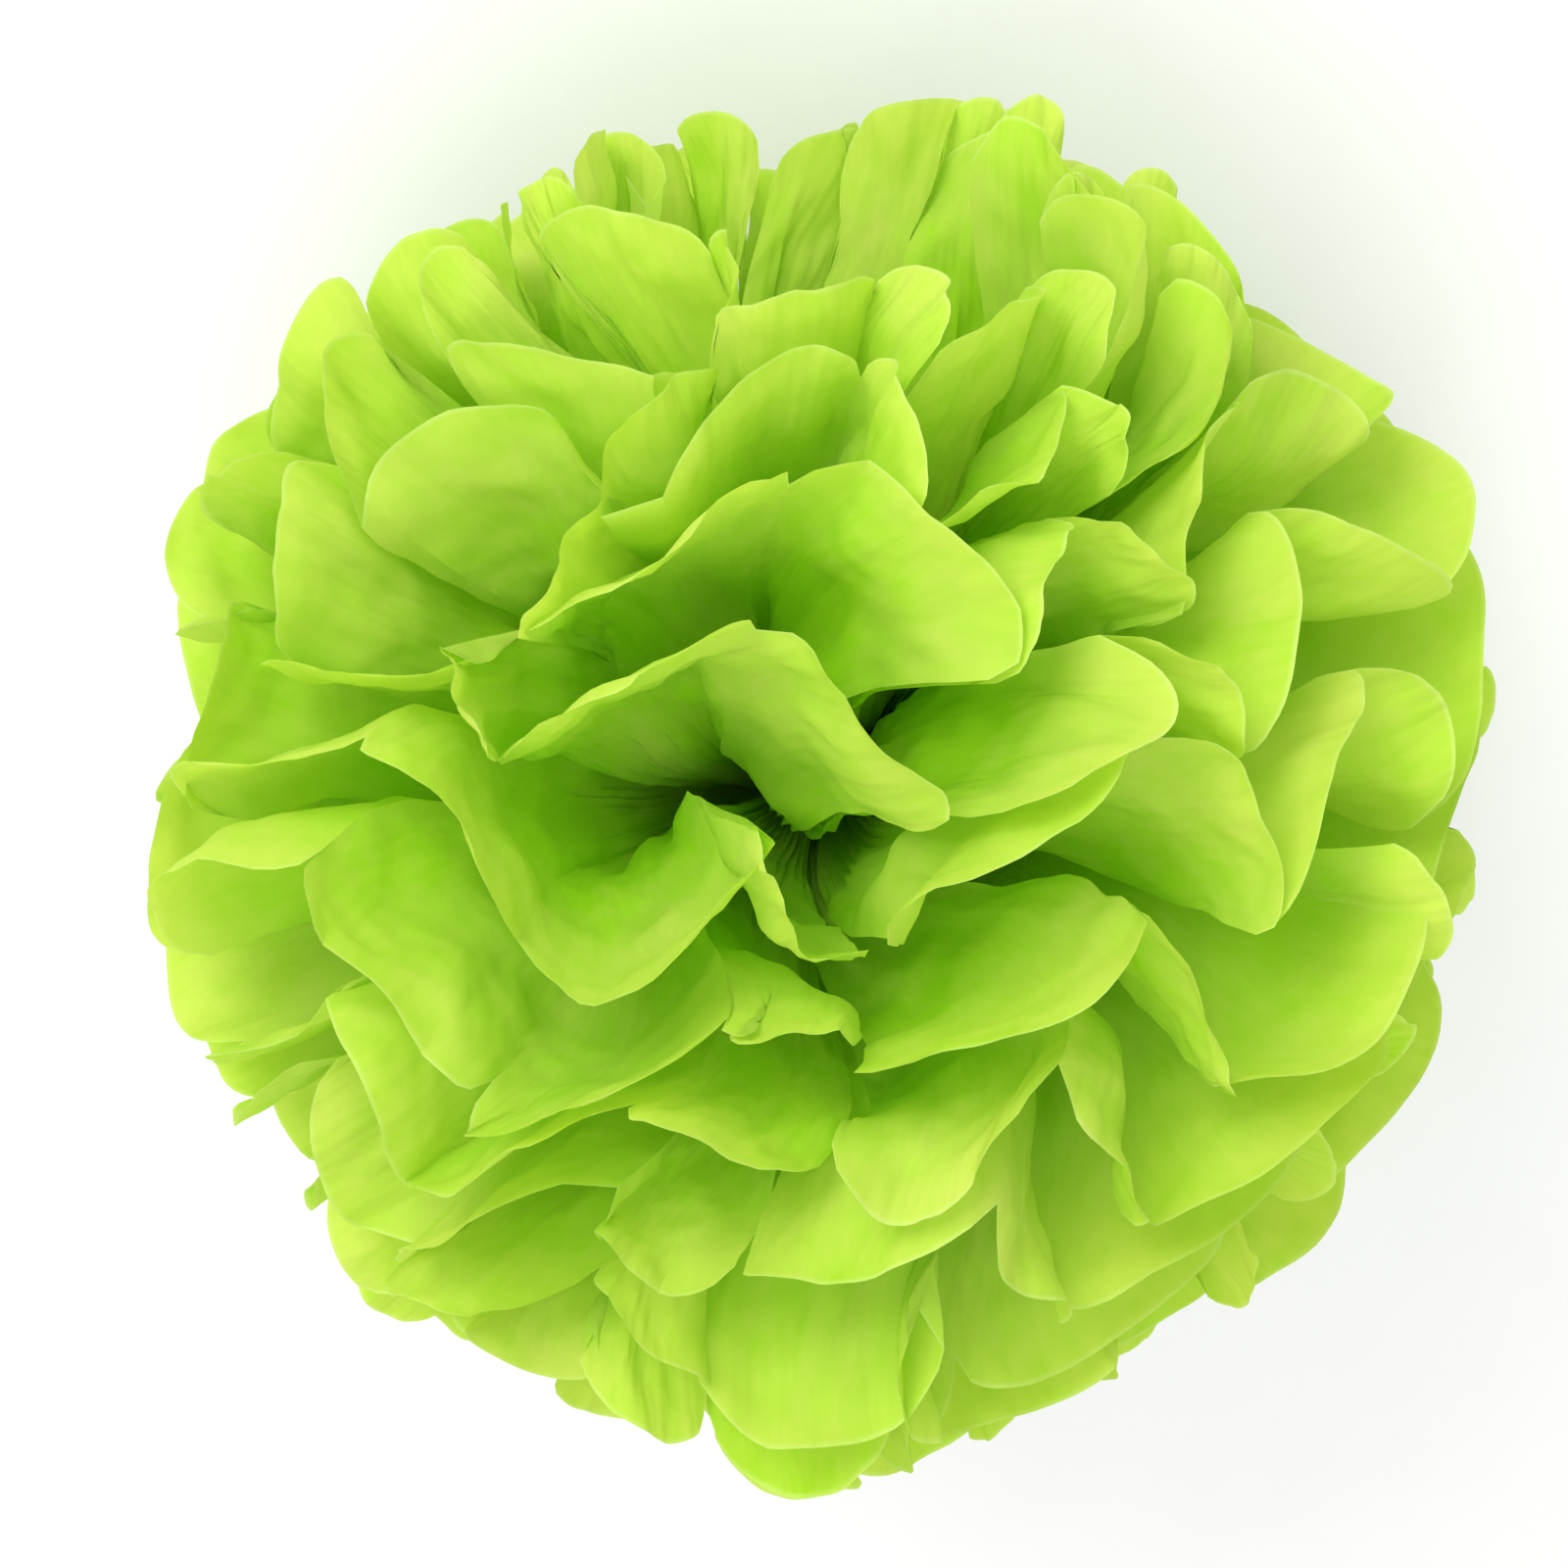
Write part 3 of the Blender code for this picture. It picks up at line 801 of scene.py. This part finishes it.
class CrinkleTree:
    """The Geometry Nodes tree that crinkles a folded sheet and gives it its finish."""

    SOCKETS = (
        ("Geometry", "NodeSocketGeometry"),
        ("Crinkle Depth", "NodeSocketFloat"),
        ("Crinkle Scale", "NodeSocketFloat"),
        ("Crease Depth", "NodeSocketFloat"),
        ("Crease Scale", "NodeSocketFloat"),
        ("Flutter Depth", "NodeSocketFloat"),
        ("Flutter Scale", "NodeSocketFloat"),
        ("Fold Angle", "NodeSocketFloat"),
        ("Seed", "NodeSocketFloat"),
        ("Tissue", "NodeSocketMaterial"),
    )

    def __init__(self) -> None:
        """Build the tree."""
        self.tree = bpy.data.node_groups.new("tissue_crinkle", "GeometryNodeTree")
        for name, kind in self.SOCKETS:
            self.tree.interface.new_socket(name, in_out="INPUT", socket_type=kind)
        self.tree.interface.new_socket(
            "Geometry", in_out="OUTPUT", socket_type="NodeSocketGeometry"
        )
        self._build()

    def _given(self, maker: NodeMaker, name: str) -> Term:
        """Return one of the tree's own inputs."""
        return maker.add("NodeGroupInput", {}, {}, name)

    def _flat(self, maker: NodeMaker, seed: Term) -> Term:
        """Return where each point lay on the flat sheet, moved by the sheet's seed."""
        flat = maker.add(
            "GeometryNodeInputNamedAttribute",
            {"data_type": "FLOAT_VECTOR"},
            {"Name": "flat_place"},
            "Attribute",
        )
        step = maker.add("ShaderNodeCombineXYZ", {}, {"X": seed, "Y": 0.61 * seed})
        return maker.moved(flat, step)

    def _build(self) -> None:
        """Add the nodes."""
        maker = NodeMaker(self.tree)
        seed = self._given(maker, "Seed")
        reach = maker.add(
            "GeometryNodeInputNamedAttribute",
            {"data_type": "FLOAT"},
            {"Name": "reach"},
            "Attribute",
        )
        flat = self._flat(maker, seed)
        crinkle = 2.0 * maker.noise(flat, self._given(maker, "Crinkle Scale"), 2.0) - 1.0
        flutter = 2.0 * maker.noise(flat, self._given(maker, "Flutter Scale"), 0.0) - 1.0
        open_share = maker.ease(reach, (0.12, 0.60, 0.0, 1.0))
        near_tip = maker.ease(reach, (0.55, 1.0, 0.0, 1.0))
        facets = maker.creases(
            maker.stretched(flat, (1.0, 0.6, 1.0)), self._given(maker, "Crease Scale")
        )
        push = crinkle * open_share * self._given(maker, "Crinkle Depth")
        push = push + (facets - 0.15) * open_share * self._given(maker, "Crease Depth")
        push = push + flutter * near_tip * self._given(maker, "Flutter Depth")
        normal = maker.add("GeometryNodeInputNormal")
        offset = maker.add(
            "ShaderNodeVectorMath", {"operation": "SCALE"}, {0: normal, "Scale": push}
        )
        moved = maker.add(
            "GeometryNodeSetPosition",
            {},
            {"Geometry": self._given(maker, "Geometry"), "Offset": offset},
        )
        smooth = maker.add(
            "GeometryNodeSetShadeSmooth",
            {"domain": "FACE"},
            {"Geometry": moved, "Shade Smooth": True},
        )
        angle = maker.add("GeometryNodeInputMeshEdgeAngle", {}, {}, "Unsigned Angle")
        creased = maker.add(
            "GeometryNodeSetShadeSmooth",
            {"domain": "EDGE"},
            {
                "Geometry": smooth,
                "Selection": angle > self._given(maker, "Fold Angle"),
                "Shade Smooth": False,
            },
        )
        real = maker.add("GeometryNodeRealizeInstances", {}, {"Geometry": creased})
        dressed = maker.add(
            "GeometryNodeSetMaterial",
            {},
            {"Geometry": real, "Material": self._given(maker, "Tissue")},
        )
        maker.add("NodeGroupOutput", {}, {"Geometry": dressed})

    def apply(
        self,
        body: bpy.types.Object,
        sizes: CrinkleSizes,
        seed: float,
        tissue: bpy.types.Material,
    ) -> bpy.types.Mesh:
        """Crinkle a sheet.

        Args:
            body: The folded sheet.
            sizes: The sizes of its crinkles.
            seed: Makes the sheet's crinkles its own.
            tissue: Its finish.

        Returns:
            The crinkled sheet as a plain mesh.
        """
        given = {
            "Crinkle Depth": sizes.crinkle_depth,
            "Crinkle Scale": sizes.crinkle_scale,
            "Crease Depth": sizes.crease_depth,
            "Crease Scale": sizes.crease_scale,
            "Flutter Depth": sizes.flutter_depth,
            "Flutter Scale": sizes.flutter_scale,
            "Fold Angle": sizes.fold_angle,
            "Seed": seed,
            "Tissue": tissue,
        }
        modifier = body.modifiers.new("crinkle", "NODES")
        modifier.node_group = self.tree
        for item in self.tree.interface.items_tree:
            if item.in_out == "INPUT" and item.name in given:
                modifier[item.identifier] = given[item.name]
        depsgraph = bpy.context.evaluated_depsgraph_get()
        mesh = bpy.data.meshes.new_from_object(body.evaluated_get(depsgraph))
        body.modifiers.remove(modifier)
        return mesh


# Pieces


@dataclass
class TissueSheet:
    """One tissue sheet of the stack, cut, folded, crinkled and finished."""

    level: int
    rule: FoldRule
    finish: TissueFinish
    crinkles: CrinkleSizes
    tie: Corner
    columns: int = 24
    rows: int = 56
    table_softness: float = 0.0012
    body: bpy.types.Object | None = field(default=None, init=False)

    @property
    def node(self) -> str:
        """Name of the CAD node that this sheet stands for."""
        return f"tissue_sheet_{self.level + 1:02d}"

    def flat_grid(self) -> tuple[np.ndarray, np.ndarray]:
        """Lay out the flat sheet's points.

        Returns:
            Each point's place along the pleats and across them, as two grids.
        """
        rule = self.rule
        step = np.arange(self.columns) / self.columns
        place = (np.arange(rule.panel_count)[:, None] + step[None, :]).ravel()
        place = np.append(place, float(rule.panel_count))
        across = (place / rule.panel_count - 0.5) * rule.sheet_length
        neck = rule.peel_place(self.level, place)
        tip = rule.petal_tip(np.clip(across, -across[-1] + 1e-9, across[-1] - 1e-9))
        share = (np.arange(self.rows + 1) / self.rows) ** 0.9
        half = neck[:, None] + (tip - neck)[:, None] * share[None, :]
        along = np.concatenate((-half[:, ::-1], half), axis=1)
        return along, np.repeat(across[:, None], along.shape[1], axis=1)

    def fold(self) -> bpy.types.Mesh:
        """Fold the flat grid into a mesh that remembers where its points lay flat.

        Returns:
            The mesh.
        """
        along, across = self.flat_grid()
        count, width = along.shape
        points = self.rule.fold_sheet(self.level, along.ravel(), across.ravel())
        points = points + np.array(self.tie) - np.array((0.0, 0.0, self.rule.tie_height))
        first = np.arange(count - 1)[:, None] * width + np.arange(width - 1)[None, :]
        first = first.ravel()
        faces = np.stack((first, first + 1, first + width + 1, first + width), axis=1)
        mesh = bpy.data.meshes.new(self.node + "_folded")
        mesh.from_pydata(points.tolist(), [], faces.tolist())

        flat = np.stack((across.ravel(), along.ravel(), np.zeros(points.shape[0])), axis=1)
        place = mesh.attributes.new("flat_place", "FLOAT_VECTOR", "POINT")
        place.data.foreach_set("vector", flat.ravel())
        reach = mesh.attributes.new("reach", "FLOAT", "POINT")
        reach.data.foreach_set("value", np.abs(along).ravel() / self.rule.half_width)
        tip = self.rule.petal_tip(np.clip(across, across[0] + 1e-9, across[-1] - 1e-9))
        rim = mesh.attributes.new("rim_distance", "FLOAT", "POINT")
        rim.data.foreach_set("value", (tip - np.abs(along)).ravel())
        corners = np.zeros(len(mesh.loops), dtype=np.int32)
        mesh.loops.foreach_get("vertex_index", corners)
        layer = mesh.uv_layers.new(name="flat")
        layer.data.foreach_set("uv", flat[corners][:, :2].ravel())
        return mesh

    def rest_on_table(self, mesh: bpy.types.Mesh) -> None:
        """Keep the crinkles of the lowest petals just above the table.

        Args:
            mesh: The crinkled sheet.
        """
        places = np.zeros(3 * len(mesh.vertices))
        mesh.vertices.foreach_get("co", places)
        height = places[2::3]
        places[2::3] = 0.5 * (height + np.sqrt(height ** 2 + self.table_softness ** 2))
        mesh.vertices.foreach_set("co", places)

    def build(self, tree: CrinkleTree) -> None:
        """Make the sheet and put it in the place of its CAD node.

        Args:
            tree: The tree that crinkles it.
        """
        folded = bpy.data.objects.new(self.node + "_folded", self.fold())
        bpy.context.scene.collection.objects.link(folded)
        tissue = self.finish.material(self.node + "_tissue", 1.7 * self.level)
        mesh = tree.apply(folded, self.crinkles, 3.1 * self.level, tissue)
        bpy.data.objects.remove(folded)
        self.rest_on_table(mesh)
        mesh.name = self.node + "_paper"
        self.body = bpy.data.objects.new(self.node + "_paper", mesh)
        bpy.context.scene.collection.objects.link(self.body)
        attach(self.body, "root")
        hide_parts(self.node)
        self.rule.flat_area()
        LOG.info("%s: %d faces", self.body.name, len(mesh.polygons))


@dataclass
class TieWire:
    """The wire round the waist, whose shape is the CAD node's own."""

    node: bpy.types.Object
    finish: WireFinish

    def build(self) -> None:
        """Paint the wire."""
        self.node.data.materials.clear()
        self.node.data.materials.append(self.finish.material("tie_wire_paint"))
        LOG.info("%s: painted", self.node.name)


@dataclass
class SoftLight:
    """A square light and the point that it faces."""

    name: str
    place: Corner
    target: Corner
    side: float
    power: float

    def build(self) -> None:
        """Hang the light."""
        data = bpy.data.lights.new(self.name, "AREA")
        data.shape = "SQUARE"
        data.size = self.side
        data.energy = self.power
        light = bpy.data.objects.new(self.name, data)
        light.location = self.place
        light.rotation_mode = "QUATERNION"
        towards = Vector(self.target) - Vector(self.place)
        light.rotation_quaternion = towards.to_track_quat("-Z", "Y")
        bpy.context.scene.collection.objects.link(light)


@dataclass
class Studio:
    """The pale floor with its upturned rim, the soft light and the camera."""

    finish: FloorFinish
    aim: Corner = (0.0085, 0.0, 0.122)
    azimuth: float = 0.0
    elevation: float = 63.0
    roll: float = 180.0
    distance: float = 0.585
    lens: float = 69.5
    floor_radius: float = 2.4
    rim_radius: float = 1.3
    rim_steps: int = 16
    floor_sides: int = 96
    sky_strength: float = 0.92
    lights: tuple[SoftLight, ...] = (
        SoftLight("key_light", (0.55, -1.10, 1.00), (0.0, 0.0, 0.12), 0.7, 11.6),
        SoftLight("fill_light", (0.25, 0.15, 1.75), (0.0, 0.0, 0.12), 0.8, 6.5),
    )

    def build_floor(self) -> None:
        """Turn the floor: a disc whose rim curves up, so that no horizon shows."""
        profile = [(0.001, 0.0), (0.8 * self.floor_radius, 0.0), (self.floor_radius, 0.0)]
        for step in range(1, self.rim_steps + 1):
            angle = math.radians(90) * step / self.rim_steps
            radius = self.floor_radius + self.rim_radius * math.sin(angle)
            profile.append((radius, self.rim_radius * (1 - math.cos(angle))))
        sides = self.floor_sides
        points, faces = [], []
        for radius, height in profile:
            for side in range(sides):
                angle = 2 * math.pi * side / sides
                points.append((radius * math.cos(angle), radius * math.sin(angle), height))
        for ring in range(len(profile) - 1):
            for side in range(sides):
                a, b = ring * sides + side, ring * sides + (side + 1) % sides
                faces.append((a, a + sides, b + sides, b))
        faces.append(tuple(range(sides)))
        mesh = bpy.data.meshes.new("studio_floor")
        mesh.from_pydata(points, [], faces)
        mesh.shade_smooth()
        mesh.materials.append(self.finish.material("pale_card"))
        floor = bpy.data.objects.new("studio_floor", mesh)
        bpy.context.scene.collection.objects.link(floor)

    def build_light(self) -> None:
        """Set the even light of the sky and hang the soft lights."""
        sky = bpy.data.worlds.new("studio_sky")
        sky.use_nodes = True
        background = sky.node_tree.nodes["Background"]
        background.inputs["Color"].default_value = (1.0, 1.0, 1.0, 1.0)
        background.inputs["Strength"].default_value = self.sky_strength
        bpy.context.scene.world = sky
        for light in self.lights:
            light.build()

    def build_camera(self) -> None:
        """Stand the camera above the ball, as the photograph was taken."""
        data = bpy.data.cameras.new("camera")
        data.lens = self.lens
        data.clip_start = 0.01
        camera = bpy.data.objects.new("camera", data)
        azimuth, elevation = math.radians(self.azimuth), math.radians(self.elevation)
        back = Vector(
            (
                math.sin(azimuth) * math.cos(elevation),
                -math.cos(azimuth) * math.cos(elevation),
                math.sin(elevation),
            )
        )
        camera.location = Vector(self.aim) + self.distance * back
        camera.rotation_mode = "QUATERNION"
        turned = Quaternion((0.0, 0.0, 1.0), math.radians(self.roll))
        camera.rotation_quaternion = (-back).to_track_quat("-Z", "Y") @ turned
        bpy.context.scene.collection.objects.link(camera)
        bpy.context.scene.camera = camera

    def build(self) -> None:
        """Build the whole studio."""
        self.build_floor()
        self.build_light()
        self.build_camera()
        bpy.context.scene.view_settings.view_transform = "Standard"
        LOG.info("studio: camera %.0f degrees above the floor", self.elevation)


def corners(box: tuple[Vector, Vector]) -> list[list[float]]:
    """Return a box's two corners as plain lists."""
    return [[float(value) for value in corner] for corner in box]


def tie_place(rule: FoldRule) -> Corner:
    """Find the middle of the tie from the CAD wire round it.

    Args:
        rule: The sizes of the stack that the wire goes round.

    Returns:
        The point.
    """
    low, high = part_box("tie_wire")
    height = low.z + rule.wire_clearance + rule.wire_diameter + rule.waist_width / 2
    return ((low.x + high.x) / 2, (low.y + high.y) / 2, height)


def main() -> None:
    """Build the pieces in order."""
    logging.basicConfig(level=logging.INFO)
    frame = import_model()
    rule = FoldRule()
    tie = tie_place(rule)
    tree = CrinkleTree()
    for level in range(rule.sheet_count):
        TissueSheet(level, rule, TissueFinish(), CrinkleSizes(), tie).build(tree)
    TieWire(frame["nodes"]["tie_wire"], WireFinish()).build()
    Studio(FloorFinish()).build()


if __name__ == "__main__":
    main()
